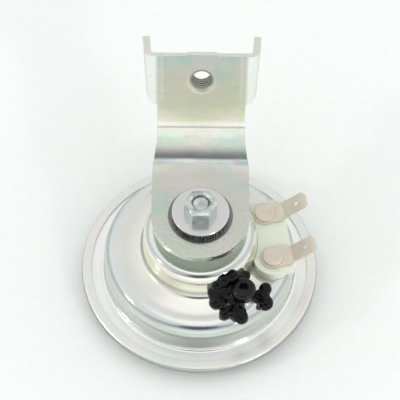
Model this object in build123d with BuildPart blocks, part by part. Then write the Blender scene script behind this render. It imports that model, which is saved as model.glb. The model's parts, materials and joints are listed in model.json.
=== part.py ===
from build123d import *
import os
from math import atan2, cos, degrees, hypot, radians, sin, tan

# Disc horn. Origin on the horn's axis in the plane that it rests on, face down:
# +Z runs up through the coil to the bracket's nut, +Y points to the bracket's
# mounting plate and +X to the two terminals. Millimetres throughout.

os.makedirs("parts", exist_ok=True)

# ---------------------------------------------------------------- dimensions

# clearances
slip = 0.1              # radial gap between a shank and its hole
air_gap = 0.8           # armature to pole face, at rest
seat_gap = 0.15         # pusher to the leaf's tongue, at rest

# sheet thicknesses
housing_sheet = 1.0
ring_sheet = 0.7
bracket_sheet = 2.5
diaphragm_sheet = 0.35
disc_sheet = 1.0
gasket_thickness = 0.4

# clamp ring, crimped over the housing's flange and the diaphragm
rim_r = 43.3            # outside
rim_lift = 5.0          # underside above the resting plane
lip_width = 3.7         # each lip, measured in from the outside
ring_bend = 1.2         # outside radius of the two rolled corners
gasket_width = 5.0
flange_gap = 0.2        # clamped edges to the ring's rolled corners

# housing: one drawn cup, with a shoulder plate that is dished up to a hub
dome_depth = 13.15      # flange to shoulder plate
hub_height = 11.85      # shoulder plate to hub roof
wall_foot_r = 35.0
plate_r = 34.3
dish_r = 25.8           # where the plate starts to rise
dish_rise = 1.4
neck_foot_r = 20.9
hub_r = 19.9
foot_bend = 1.2
shoulder_bend = 4.5
dish_bend = 18.0
neck_bend = 2.5
hub_bend = 3.5

# diaphragm and tone disc
diaphragm_rise = 1.0    # centre pad above the clamped edge
pad_r = 10.5
corrugation_r = 24.0
corrugation_width = 6.0
corrugation = 0.9       # height of the ring wave
corrugation_bend = 1.5
disc_r = 36.0
disc_track_r = 24.0     # inner edge of the flat ring that touches the ground
disc_seat_r = 10.0
disc_bead_r = 30.0
disc_bead = 0.8
disc_bend = 3.0
disc_spacer_height = 2.5
disc_spacer_r = 7.5

# armature
armature_stud_r = 2.5
armature_foot_r = 10.0
armature_foot = 1.25
armature_r = 7.2
armature_shelf_r = 8.8
armature_shelf = 1.2
peened_head_r = 4.5
peened_head = 1.4
pusher_r = 11.5
pusher_height = 2.35

# pole core, coil and the breaker's base plate
stud_r = 3.0            # M6
stud_chamfer = 0.5
core_r = 6.0
pole_r = 7.0
pole_head = 1.5
base_sheet = 1.5
base_r = 12.0
base_arm_width = 9.0
base_headroom = 0.75    # base plate to the shoulder plate's underside
bobbin_wall = 1.0
bobbin_r = 16.2
winding_r = 15.4

# bracket stack on the stud
collar_height = 7.0
collar_r = 9.0
washer_r = 10.0
washer_height = 3.0
washer_chamfer = 0.3
nut_flats = 10.0
nut_height = 6.1
nut_crown_r = 4.35      # flat ring left by the chamfer
nut_crown = 1.1
nut_crown_slope = 0.5   # how much the crown drops past the flats, per mm
nut_mouth_r = 3.45
stud_recess = 1.2       # stud's end below the nut's top

# bracket: a strip with a round end, a curved rise and a steep mounting plate
tab_r = 17.1
tab_run = 21.9          # axis to the first bend
heel_bend = 3.0         # radii of the strip's upper face
crest_bend = 24.7
fold_bend = 2.0
ease_bend = 18.0
heel_angle = 36.0       # slopes between the bends, from the horizontal
crest_angle = 12.0
fold_angle = 56.0
plate_tilt = 68.0
plate_length = 24.3     # flat of the mounting plate, to its top edge
waist_half = 15.7       # half width through the second bend
taper_start = 20.9      # where the tab starts to narrow to the waist
taper_run = 8.0
ear_height = 19.4
ear_depth = 14.8
ear_bend = 4.0          # outside radius
ear_flare = 4.0         # degrees, outwards towards the back
ear_lean = 2.7          # degrees, outwards towards the top
ear_foot_half = 15.4    # bend line's half spacing at the ears' lower ends
ear_corner = 3.0        # rounded lower corners
top_tongue_half = 5.2
top_tongue = 0.45

# M8 hole, drawn through to the plate's back
m8_minor_r = 3.325
m8_length = 7.5
m8_from_top = 10.0
m8_entry = 1.9          # rounded mouth
m8_boss_r = 5.6

# terminals, their rivets and the insulators
lower_rivet = (26.0, -6.7)
upper_rivet = (23.4, 11.5)
insulator_height = 3.75
insulator_left = 4.9
insulator_right = 7.4
insulator_below = 5.4
insulator_above = 5.6
insulator_round_r = 6.9
insulator_rim = 0.5
insulator_rim_width = 1.0
insulator_rim_open = 30.0
insulator_corner = 1.5
inner_insulator_height = 1.5
inner_insulator_half = 3.8
spigot_r = 3.0
terminal_sheet = 0.8
eyelet_r = 4.5
strap_width = 8.4
blade_width = 6.3
blade_length = 10.0
blade_rise = 36.0       # degrees
blade_corner = 1.2
blade_hole_r = 0.85
blade_hole_from_end = 4.3
bend_from_rivet = 7.2
terminal_bend = 1.5
strap_end = 6.0         # rivet to where the strap narrows to the blade
terminal_azimuth = 12.0
rivet_shank_r = 2.0
rivet_head_r = 3.8
rivet_head = 1.0
rivet_head_edge = 0.5
rivet_tail_r = 3.0
rivet_tail = 0.8

# adjusting screw and its bush
adjuster = (15.3, -21.0)
screw_shank_r = 2.5     # M5
screw_head_r = 4.35
screw_head = 4.0
screw_dome = 1.6
screw_socket_r = 1.9
screw_socket = 2.2
bush_r = 4.2
bush_height = 4.25
bush_body_r = 3.6
bush_body = 3.5         # below the shoulder plate's top

# contact breaker, hung under the base plate
stack = (-15.1, -18.0)
stack_r = 3.8
stack_rivet_r = 1.5
stack_rivet_head_r = 2.6
stack_rivet_head = 0.5
sleeve_r = 2.3
upper_insulator = 1.2
middle_insulator = 2.0
lower_insulator = 1.0
leaf_sheet = 0.4
leaf_width = 6.0
leaf_tail = 7.0         # solder tail behind the stack
arm_sheet = 1.0
arm_width = 7.0
arm_reach = 2.5         # past the adjusting screw
tongue_width = 5.0
contact_share = 0.72    # contacts' place along the arm, stack to screw
contact_r = 1.75
moving_contact = 0.9

# leads
wire_r = 0.4
lead_drop = 1.6
lead_bend = 1.0
leaf_lead_start = (-14.1, -5.1)
terminal_lead_start = (13.6, 6.3)
solder_inset = 1.0      # wire to the end of the leaf's tail

# sealing compound: lobes as (x, y, height above the shoulder plate, radius)
compound_lobes = [
    (5.4, -20.3, 5.0, 2.1),
    (5.4, -22.2, 1.5, 2.2),
    (7.7, -20.3, 3.0, 2.8),
    (9.0, -27.3, 1.3, 2.2),
    (10.3, -17.8, 5.4, 2.5),
    (10.7, -21.7, 1.6, 3.1),
    (10.6, -24.8, 1.0, 2.2),
    (14.4, -26.0, 1.1, 2.7),
    (14.5, -28.4, 1.0, 2.7),
    (16.2, -13.4, 3.2, 2.0),
    (13.0, -16.3, 3.4, 2.4),
    (20.6, -20.0, 0.9, 2.0),
    (23.4, -17.6, 1.3, 2.1),
    (22.4, -20.3, 1.1, 2.1),
    (23.5, -22.4, 0.9, 2.2),
]
compound_lap = 1.6      # collar of compound round the bush
compound_lap_height = 1.4

# -------------------------------------------------------------------- levels

diaphragm_bottom = rim_lift + ring_sheet
gasket_bottom = diaphragm_bottom + diaphragm_sheet
flange_bottom = gasket_bottom + gasket_thickness
flange_top = flange_bottom + housing_sheet
rim_top = flange_top + ring_sheet
plate_top = flange_top + dome_depth
plate_bottom = plate_top - housing_sheet
dish_top = plate_top + dish_rise
hub_top = plate_top + hub_height
roof_bottom = hub_top - housing_sheet
tab_bottom = hub_top + collar_height
tab_top = tab_bottom + bracket_sheet
washer_top = tab_top + washer_height
nut_top = washer_top + nut_height
stud_end = nut_top - stud_recess

base_top = plate_bottom - base_headroom
base_bottom = base_top - base_sheet
pole_face = base_bottom - pole_head
armature_top = pole_face - air_gap
leaf_top = base_bottom - upper_insulator
leaf_bottom = leaf_top - leaf_sheet
arm_top = leaf_bottom - middle_insulator
arm_bottom = arm_top - arm_sheet
stack_bottom = arm_bottom - lower_insulator
contact_plane = leaf_bottom - moving_contact
pusher_top = leaf_bottom - seat_gap
pusher_bottom = pusher_top - pusher_height

pad_bottom = diaphragm_bottom + diaphragm_rise
pad_top = pad_bottom + diaphragm_sheet
disc_seat_top = pad_bottom - disc_spacer_height
disc_seat_bottom = disc_seat_top - disc_sheet

insulator_top = plate_top + insulator_height
rivet_seat = insulator_top + terminal_sheet
inner_insulator_bottom = plate_bottom - inner_insulator_height
rivet_end = inner_insulator_bottom - rivet_tail
bush_top = plate_top + bush_height

# what the clamp ring holds ends short of its rolled corners
clamped_r = rim_r - ring_bend - flange_gap

# --------------------------------------------------------- directions, planes

# across the insulator: from the lower rivet to the upper one
rivet_dx = upper_rivet[0] - lower_rivet[0]
rivet_dy = upper_rivet[1] - lower_rivet[1]
rivet_pitch = hypot(rivet_dx, rivet_dy)
rivet_line = Vector(rivet_dx, rivet_dy) / rivet_pitch
rivet_outward = Vector(rivet_line.Y, -rivet_line.X)

# along the breaker's arms: from the stack to the adjusting screw
arm_dx = adjuster[0] - stack[0]
arm_dy = adjuster[1] - stack[1]
arm_length = hypot(arm_dx, arm_dy)
arm_line = Vector(arm_dx, arm_dy) / arm_length
arm_across = Vector(-arm_line.Y, arm_line.X)
contact_along = arm_length * contact_share
leaf_end = contact_along + leaf_width / 2
# the horn's axis as the arms see it; the leaf's tongue stops half way over the pusher
axis_along = -(stack[0] * arm_line.X + stack[1] * arm_line.Y)
axis_across = -(stack[0] * arm_across.X + stack[1] * arm_across.Y)
tongue_end = axis_across - (pusher_r + armature_r) / 2


def bend_shift(radius, start, end):
    """How far a bend from one slope to another carries the strip, along and up."""
    a, b = radians(start), radians(end)
    return Vector(sin(b) - sin(a), cos(a) - cos(b)) * radius


# mounting plate: x across, y up the plate, z out of its front
plate_start = (
    Vector(tab_run, tab_top)
    + bend_shift(heel_bend, 0, heel_angle)
    + bend_shift(-crest_bend, heel_angle, crest_angle)
    + bend_shift(fold_bend, crest_angle, fold_angle)
    + bend_shift(ease_bend, fold_angle, plate_tilt)
)
plate_up = Vector(0, cos(radians(plate_tilt)), sin(radians(plate_tilt)))
plate_normal = Vector(0, -sin(radians(plate_tilt)), cos(radians(plate_tilt)))
plate_plane = Plane(
    origin=(0, plate_start.X, plate_start.Y), x_dir=(1, 0, 0), z_dir=plate_normal
)
ear_foot = plate_length - ear_height
ear_side = ear_foot_half + ear_bend
top_half = ear_foot_half + ear_height * tan(radians(ear_lean))
m8_centre = (0, plate_length - m8_from_top)


def insulator_plane(height):
    """Plane at the lower rivet: x outwards, y along the row of rivets."""
    return Plane(
        origin=(*lower_rivet, height), x_dir=rivet_outward, z_dir=(0, 0, 1)
    )


def arm_plane(height):
    """Plane at the breaker's stack: x along the arms, y to the horn's axis."""
    return Plane(origin=(*stack, height), x_dir=arm_line, z_dir=(0, 0, 1))


def on_arm(along, across=0.0):
    """Point in the horn's frame, given along and across the arms."""
    point = Vector(*stack) + arm_line * along + arm_across * across
    return (point.X, point.Y)


def finish(part, name):
    """Label a piece and write it to its own file."""
    part.label = name
    export_step(part, f"parts/{name}.step")


# ------------------------------------------------------------------- housing

# outer surface, from the flange's edge to the stud's hole
housing_line = [
    (clamped_r, flange_top),
    (wall_foot_r, flange_top),
    (plate_r, plate_top),
    (dish_r, plate_top),
    (neck_foot_r, dish_top),
    (hub_r, hub_top),
    (stud_r + slip, hub_top),
]
housing_bends = [foot_bend, shoulder_bend, dish_bend, neck_bend, hub_bend]

# all the space the housing encloses, used to trim what lies against it
with BuildPart() as housing_envelope:
    with BuildSketch(Plane.XZ):
        with BuildLine():
            shell = FilletPolyline(*housing_line, radius=housing_bends)
            Polyline(shell @ 1, (0, hub_top), (0, 0), (clamped_r, 0), shell @ 0)
        make_face()
    revolve(axis=Axis.Z)

with BuildPart() as housing:
    with BuildSketch(Plane.XZ):
        with BuildLine():
            FilletPolyline(*housing_line, radius=housing_bends)
            offset(amount=housing_sheet, side=Side.LEFT)
        make_face()
    revolve(axis=Axis.Z)
    with Locations((*adjuster, dish_top)):
        Hole(bush_body_r + slip, depth=dish_rise + housing_sheet)
    with Locations((*lower_rivet, dish_top), (*upper_rivet, dish_top)):
        Hole(spigot_r + slip, depth=dish_rise + housing_sheet)
finish(housing.part, "housing")

# ------------------------------------------------ clamp ring, gasket, diaphragm

with BuildPart() as clamp_ring:
    with BuildSketch(Plane.XZ):
        with BuildLine():
            FilletPolyline(
                (rim_r - lip_width, rim_lift),
                (rim_r, rim_lift),
                (rim_r, rim_top),
                (rim_r - lip_width, rim_top),
                radius=ring_bend,
            )
            offset(amount=ring_sheet, side=Side.LEFT)
        make_face()
    revolve(axis=Axis.Z)
finish(clamp_ring.part, "clamp_ring")

with BuildPart() as flange_gasket:
    with BuildSketch(Plane.XY.offset(gasket_bottom)):
        Circle(clamped_r)
        Circle(clamped_r - gasket_width, mode=Mode.SUBTRACT)
    extrude(amount=gasket_thickness)
finish(flange_gasket.part, "flange_gasket")

# clamped edge, one ring corrugation, then a shallow cone up to the pad
with BuildPart() as diaphragm:
    with BuildSketch(Plane.XZ):
        with BuildLine():
            FilletPolyline(
                (clamped_r, diaphragm_bottom),
                (corrugation_r + corrugation_width, diaphragm_bottom),
                (corrugation_r + corrugation_width / 2, diaphragm_bottom + corrugation),
                (corrugation_r, diaphragm_bottom),
                (pad_r, pad_bottom),
                (armature_stud_r + slip, pad_bottom),
                radius=corrugation_bend,
            )
            offset(amount=diaphragm_sheet, side=Side.RIGHT)
        make_face()
    revolve(axis=Axis.Z)
finish(diaphragm.part, "diaphragm")

# ------------------------------------------------------- tone disc and spacer

with BuildPart() as tone_disc:
    with BuildSketch(Plane.XZ):
        with BuildLine():
            FilletPolyline(
                (disc_r, 0),
                (disc_track_r, 0),
                (disc_seat_r, disc_seat_bottom),
                (armature_stud_r + slip, disc_seat_bottom),
                radius=disc_bend,
            )
            offset(amount=disc_sheet, side=Side.RIGHT)
        make_face()
    revolve(axis=Axis.Z)
    # round stiffening bead pressed up out of the flat ring
    with BuildSketch(Plane.XZ):
        with Locations((disc_bead_r, disc_sheet)):
            Circle(disc_bead)
        with Locations((disc_bead_r, disc_sheet - disc_bead)):
            Rectangle(4 * disc_bead, 2 * disc_bead, mode=Mode.SUBTRACT)
    revolve(axis=Axis.Z)
finish(tone_disc.part, "tone_disc")

with BuildPart() as tone_disc_spacer:
    with BuildSketch(Plane.XY.offset(disc_seat_top)):
        Circle(disc_spacer_r)
        Circle(armature_stud_r + slip, mode=Mode.SUBTRACT)
    extrude(amount=disc_spacer_height)
finish(tone_disc_spacer.part, "tone_disc_spacer")

# ------------------------------------------------------- armature and pusher

# stud peened under the tone disc, foot on the diaphragm, shelf for the pusher
with BuildPart() as armature:
    with BuildSketch(Plane.XZ):
        with BuildLine():
            Polyline(
                (0, disc_seat_bottom - peened_head),
                (peened_head_r - peened_head, disc_seat_bottom - peened_head),
                (peened_head_r, disc_seat_bottom),
                (armature_stud_r, disc_seat_bottom),
                (armature_stud_r, pad_top),
                (armature_foot_r, pad_top),
                (armature_foot_r, pad_top + armature_foot),
                (armature_r, pad_top + armature_foot),
                (armature_r, pusher_bottom - armature_shelf),
                (armature_shelf_r, pusher_bottom - armature_shelf),
                (armature_shelf_r, pusher_bottom),
                (armature_r, pusher_bottom),
                (armature_r, armature_top),
                (0, armature_top),
                close=True,
            )
        make_face()
    revolve(axis=Axis.Z)
finish(armature.part, "armature")

with BuildPart() as armature_pusher:
    with BuildSketch(Plane.XY.offset(pusher_bottom)):
        Circle(pusher_r)
        Circle(armature_r + slip, mode=Mode.SUBTRACT)
    extrude(amount=pusher_height)
finish(armature_pusher.part, "armature_pusher")

# ------------------------------------------------------------- core and coil

with BuildPart() as pole_core:
    with BuildSketch(Plane.XY.offset(pole_face)):
        Circle(pole_r)
    extrude(amount=pole_head)
    with BuildSketch(Plane.XY.offset(base_bottom)):
        Circle(core_r)
    extrude(amount=roof_bottom - base_bottom)
    with BuildSketch(Plane.XY.offset(roof_bottom)):
        Circle(stud_r)
    extrude(amount=stud_end - roof_bottom)
    chamfer(pole_core.edges().sort_by(Axis.Z)[-1], stud_chamfer)
finish(pole_core.part, "pole_core")

with BuildPart() as coil_bobbin:
    with BuildSketch(Plane.XZ):
        with BuildLine():
            Polyline(
                (core_r + slip, base_top),
                (bobbin_r, base_top),
                (bobbin_r, base_top + bobbin_wall),
                (core_r + slip + bobbin_wall, base_top + bobbin_wall),
                (core_r + slip + bobbin_wall, roof_bottom - bobbin_wall),
                (bobbin_r, roof_bottom - bobbin_wall),
                (bobbin_r, roof_bottom),
                (core_r + slip, roof_bottom),
                close=True,
            )
        make_face()
    revolve(axis=Axis.Z)
finish(coil_bobbin.part, "coil_bobbin")

with BuildPart() as coil_winding:
    with BuildSketch(Plane.XY.offset(base_top + bobbin_wall)):
        Circle(winding_r)
        Circle(core_r + slip + bobbin_wall, mode=Mode.SUBTRACT)
    extrude(amount=roof_bottom - base_top - 2 * bobbin_wall)
finish(coil_winding.part, "coil_winding")

# ------------------------------------------------------------ contact breaker

with BuildPart() as breaker_base:
    with BuildSketch(Plane.XY.offset(base_bottom)):
        Circle(base_r)
        SlotCenterToCenter(
            2 * hypot(*stack),
            base_arm_width,
            rotation=degrees(atan2(stack[1], stack[0])),
        )
        split(bisect_by=Plane(origin=(0, 0, base_bottom),
                              z_dir=(stack[0], stack[1], 0)), keep=Keep.TOP)
        Circle(base_r)
        Circle(core_r + slip, mode=Mode.SUBTRACT)
    extrude(amount=base_sheet)
    with Locations((*stack, base_top)):
        Hole(stack_rivet_r + slip, depth=base_sheet)
finish(breaker_base.part, "breaker_base")

with BuildPart() as moving_contact_leaf:
    with BuildSketch(arm_plane(leaf_bottom)):
        with Locations(((leaf_end - leaf_tail) / 2, 0)):
            Rectangle(leaf_end + leaf_tail, leaf_width)
        # tongue that reaches over the armature's pusher
        with Locations((axis_along, tongue_end / 2)):
            Rectangle(tongue_width, tongue_end)
        Circle(sleeve_r + slip, mode=Mode.SUBTRACT)
        with Locations((contact_along, 0)):
            Circle(contact_r / 2, mode=Mode.SUBTRACT)
    extrude(amount=leaf_sheet)
finish(moving_contact_leaf.part, "moving_contact_leaf")

with BuildPart() as fixed_contact_arm:
    with BuildSketch(arm_plane(arm_bottom)):
        with Locations(((arm_length + arm_reach) / 2, 0)):
            SlotOverall(arm_length + arm_reach + arm_width, arm_width)
        Circle(sleeve_r + slip, mode=Mode.SUBTRACT)
        with Locations((contact_along, 0)):
            Circle(contact_r / 2, mode=Mode.SUBTRACT)
    extrude(amount=arm_sheet)
finish(fixed_contact_arm.part, "fixed_contact_arm")

# contact points: a button with its riveting stem through the strip
with BuildPart() as moving_contact_point:
    with BuildSketch(Plane(origin=(*on_arm(contact_along), contact_plane))):
        Circle(contact_r)
    extrude(amount=moving_contact)
    with BuildSketch(Plane(origin=(*on_arm(contact_along), leaf_bottom))):
        Circle(contact_r / 2)
    extrude(amount=leaf_sheet)
finish(moving_contact_point.part, "moving_contact_point")

with BuildPart() as fixed_contact_point:
    with BuildSketch(Plane(origin=(*on_arm(contact_along), arm_top))):
        Circle(contact_r)
    extrude(amount=contact_plane - arm_top)
    with BuildSketch(Plane(origin=(*on_arm(contact_along), arm_bottom))):
        Circle(contact_r / 2)
    extrude(amount=arm_sheet)
finish(fixed_contact_point.part, "fixed_contact_point")

# the stack's three insulators; the middle one has sleeves into both strips
with BuildPart() as stack_insulator_upper:
    with BuildSketch(arm_plane(leaf_top)):
        Circle(stack_r)
        Circle(stack_rivet_r + slip, mode=Mode.SUBTRACT)
    extrude(amount=upper_insulator)
finish(stack_insulator_upper.part, "stack_insulator_upper")

with BuildPart() as stack_insulator_middle:
    with BuildSketch(arm_plane(arm_top)):
        Circle(stack_r)
    extrude(amount=middle_insulator)
    with BuildSketch(arm_plane(arm_bottom)):
        Circle(sleeve_r)
    extrude(amount=leaf_top - arm_bottom)
    with Locations((*stack, leaf_top)):
        Hole(stack_rivet_r + slip)
finish(stack_insulator_middle.part, "stack_insulator_middle")

with BuildPart() as stack_insulator_lower:
    with BuildSketch(arm_plane(stack_bottom)):
        Circle(stack_r)
        Circle(stack_rivet_r + slip, mode=Mode.SUBTRACT)
    extrude(amount=lower_insulator)
finish(stack_insulator_lower.part, "stack_insulator_lower")

with BuildPart() as stack_rivet:
    with BuildSketch(arm_plane(stack_bottom)):
        Circle(stack_rivet_r)
    extrude(amount=base_top - stack_bottom)
    with BuildSketch(arm_plane(base_top)):
        Circle(stack_rivet_head_r)
    extrude(amount=stack_rivet_head)
    with BuildSketch(arm_plane(stack_bottom)):
        Circle(stack_rivet_head_r)
    extrude(amount=-stack_rivet_head)
finish(stack_rivet.part, "stack_rivet")

# ------------------------------------------------------------ adjusting screw

with BuildPart() as adjuster_bush:
    with BuildSketch(Plane(origin=(*adjuster, plate_top))):
        Circle(bush_r)
    extrude(amount=bush_height)
    add(housing_envelope.part, mode=Mode.SUBTRACT)
    with BuildSketch(Plane(origin=(*adjuster, bush_top))):
        Circle(bush_body_r)
    extrude(amount=-bush_height - bush_body)
    with Locations((*adjuster, bush_top)):
        Hole(screw_shank_r + slip / 2)
finish(adjuster_bush.part, "adjuster_bush")

with BuildPart() as adjusting_screw:
    with BuildSketch(Plane(origin=(*adjuster, bush_top))):
        Circle(screw_head_r)
    extrude(amount=screw_head)
    fillet(adjusting_screw.edges().sort_by(Axis.Z)[-1], screw_dome)
    with BuildSketch(Plane(origin=(*adjuster, bush_top + screw_head))):
        RegularPolygon(screw_socket_r, 6)
    extrude(amount=-screw_socket, mode=Mode.SUBTRACT)
    with BuildSketch(Plane(origin=(*adjuster, bush_top))):
        Circle(screw_shank_r)
    extrude(amount=arm_top - bush_top)
finish(adjusting_screw.part, "adjusting_screw")

with BuildPart() as sealing_compound:
    for x, y, height, radius in compound_lobes:
        with Locations((x, y, plate_top + height)):
            Sphere(radius)
    # it fills round the bush and laps the screw's head
    with Locations((*adjuster, plate_top)):
        Cylinder(bush_r + compound_lap, compound_lap_height,
                 align=(Align.CENTER, Align.CENTER, Align.MIN))
    with Locations((*adjuster, bush_top)):
        Cylinder(screw_head_r, 2 * screw_head, mode=Mode.SUBTRACT,
                 align=(Align.CENTER, Align.CENTER, Align.MIN))
    with Locations((*adjuster, bush_top)):
        Cylinder(bush_r, 2 * bush_height, mode=Mode.SUBTRACT,
                 align=(Align.CENTER, Align.CENTER, Align.MAX))
    add(housing_envelope.part, mode=Mode.SUBTRACT)
finish(sealing_compound.part, "sealing_compound")

# ------------------------------------------------ insulators, terminals, rivets

with BuildPart() as terminal_insulator:
    with BuildSketch(insulator_plane(plate_top)):
        with Locations(((insulator_right - insulator_left) / 2,
                        (rivet_pitch + insulator_above - insulator_below) / 2)):
            RectangleRounded(insulator_left + insulator_right,
                             rivet_pitch + insulator_above + insulator_below,
                             insulator_corner)
        Circle(insulator_round_r)
    extrude(amount=insulator_height)
    add(housing_envelope.part, mode=Mode.SUBTRACT)
    # raised border round the lower seat
    with BuildSketch(insulator_plane(insulator_top)):
        Circle(insulator_round_r)
        Circle(insulator_round_r - insulator_rim_width, mode=Mode.SUBTRACT)
        with Locations((0, insulator_round_r)):
            Rectangle(2 * insulator_round_r, 2 * insulator_round_r, mode=Mode.SUBTRACT)
        with Locations((insulator_round_r, 0)):
            Rectangle(2 * insulator_round_r, 4 * insulator_round_r,
                      mode=Mode.SUBTRACT, rotation=insulator_rim_open)
    extrude(amount=insulator_rim)
    with BuildSketch(insulator_plane(plate_bottom)):
        with Locations((0, 0), (0, rivet_pitch)):
            Circle(spigot_r)
    extrude(amount=housing_sheet + insulator_height)
    with BuildSketch(insulator_plane(plate_bottom)):
        with Locations((0, 0), (0, rivet_pitch)):
            Circle(rivet_shank_r + slip)
    extrude(amount=housing_sheet + insulator_height, mode=Mode.SUBTRACT)
finish(terminal_insulator.part, "terminal_insulator")

with BuildPart() as inner_insulator:
    with BuildSketch(insulator_plane(inner_insulator_bottom)):
        with Locations((0, rivet_pitch / 2)):
            SlotCenterToCenter(rivet_pitch, 2 * inner_insulator_half, rotation=90)
        with Locations((0, 0), (0, rivet_pitch)):
            Circle(rivet_shank_r + slip, mode=Mode.SUBTRACT)
    extrude(amount=inner_insulator_height)
finish(inner_insulator.part, "inner_insulator")

for place, (x, y) in (("lower", lower_rivet), ("upper", upper_rivet)):
    azimuth = radians(terminal_azimuth)
    outward = Vector(cos(azimuth), sin(azimuth), 0)
    seat = Plane(origin=(x, y, insulator_top), x_dir=outward, z_dir=(0, 0, 1))
    side_on = Plane(origin=seat.origin, x_dir=outward, z_dir=outward.cross(Vector(0, 0, 1)))
    blade_run = blade_length * cos(radians(blade_rise))
    blade_climb = blade_length * sin(radians(blade_rise))
    with BuildPart() as terminal:
        # strip from the rivet to the blade's tip, seen from its edge
        with BuildSketch(side_on):
            with BuildLine():
                FilletPolyline(
                    (0, 0),
                    (bend_from_rivet, 0),
                    (bend_from_rivet + blade_run, blade_climb),
                    radius=terminal_bend,
                )
                offset(amount=terminal_sheet, side=Side.LEFT)
            make_face()
        extrude(amount=blade_width / 2, both=True)
        with BuildSketch(seat):
            Circle(eyelet_r)
            with Locations((strap_end / 2, 0)):
                Rectangle(strap_end, strap_width)
        extrude(amount=terminal_sheet)
        blade_plane = Plane(
            origin=seat.from_local_coords((bend_from_rivet + blade_run, 0, blade_climb)),
            x_dir=outward * cos(radians(blade_rise)) + Vector(0, 0, sin(radians(blade_rise))),
            z_dir=Vector(0, 0, cos(radians(blade_rise))) - outward * sin(radians(blade_rise)),
        )
        with BuildSketch(blade_plane):
            for side in (1, -1):
                with BuildLine():
                    Polyline(
                        (0, side * (blade_width / 2 - blade_corner)),
                        (0, side * blade_width),
                        (-blade_corner - blade_width / 2, side * blade_width),
                        (-blade_corner, side * blade_width / 2),
                        close=True,
                    )
                make_face()
            with Locations((-blade_hole_from_end, 0)):
                Circle(blade_hole_r)
        extrude(amount=2 * terminal_sheet, both=True, mode=Mode.SUBTRACT)
        with BuildSketch(seat):
            Circle(rivet_shank_r + slip)
        extrude(amount=terminal_sheet, mode=Mode.SUBTRACT)
    finish(terminal.part, f"terminal_{place}")

    with BuildPart() as terminal_rivet:
        with BuildSketch(Plane(origin=(x, y, rivet_seat))):
            Circle(rivet_head_r)
        extrude(amount=rivet_head)
        fillet(terminal_rivet.edges().sort_by(Axis.Z)[-1], rivet_head_edge)
        with BuildSketch(Plane(origin=(x, y, rivet_seat))):
            Circle(rivet_shank_r)
        extrude(amount=rivet_end - rivet_seat)
        with BuildSketch(Plane(origin=(x, y, rivet_end))):
            Circle(rivet_tail_r)
        extrude(amount=rivet_tail)
    finish(terminal_rivet.part, f"terminal_rivet_{place}")

# --------------------------------------------------------------------- leads


def lead(points, name):
    """Round wire along straight runs with bent corners, written as one piece."""
    with BuildPart() as wire:
        with BuildLine():
            path = FilletPolyline(*points, radius=lead_bend)
        with BuildSketch(Plane(origin=path @ 0, z_dir=path % 0)):
            Circle(wire_r)
        sweep()
    finish(wire.part, name)


lead_level = base_bottom + wire_r
leaf_tail_end = on_arm(solder_inset - leaf_tail)
arm_solder = on_arm(arm_length + arm_reach + arm_width / 4)

lead(
    [
        (*leaf_lead_start, base_top),
        (*leaf_lead_start, lead_level),
        (*leaf_tail_end, lead_level),
        (*leaf_tail_end, leaf_top),
    ],
    "coil_lead_to_leaf",
)
lead(
    [
        (*terminal_lead_start, base_top),
        (*terminal_lead_start, rivet_end - lead_drop),
        (*upper_rivet, rivet_end - lead_drop),
        (*upper_rivet, rivet_end),
    ],
    "coil_lead_to_terminal",
)
lead(
    [
        (*lower_rivet, rivet_end),
        (*lower_rivet, rivet_end - lead_drop),
        (*arm_solder, rivet_end - lead_drop),
        (*arm_solder, arm_top),
    ],
    "arm_lead_to_terminal",
)

# ------------------------------------------- collar, bracket, washer and nut

with BuildPart() as core_spacer_collar:
    with BuildSketch(Plane.XY.offset(hub_top)):
        Circle(collar_r)
        Circle(stud_r + slip, mode=Mode.SUBTRACT)
    extrude(amount=collar_height)
finish(core_spacer_collar.part, "core_spacer_collar")

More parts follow.
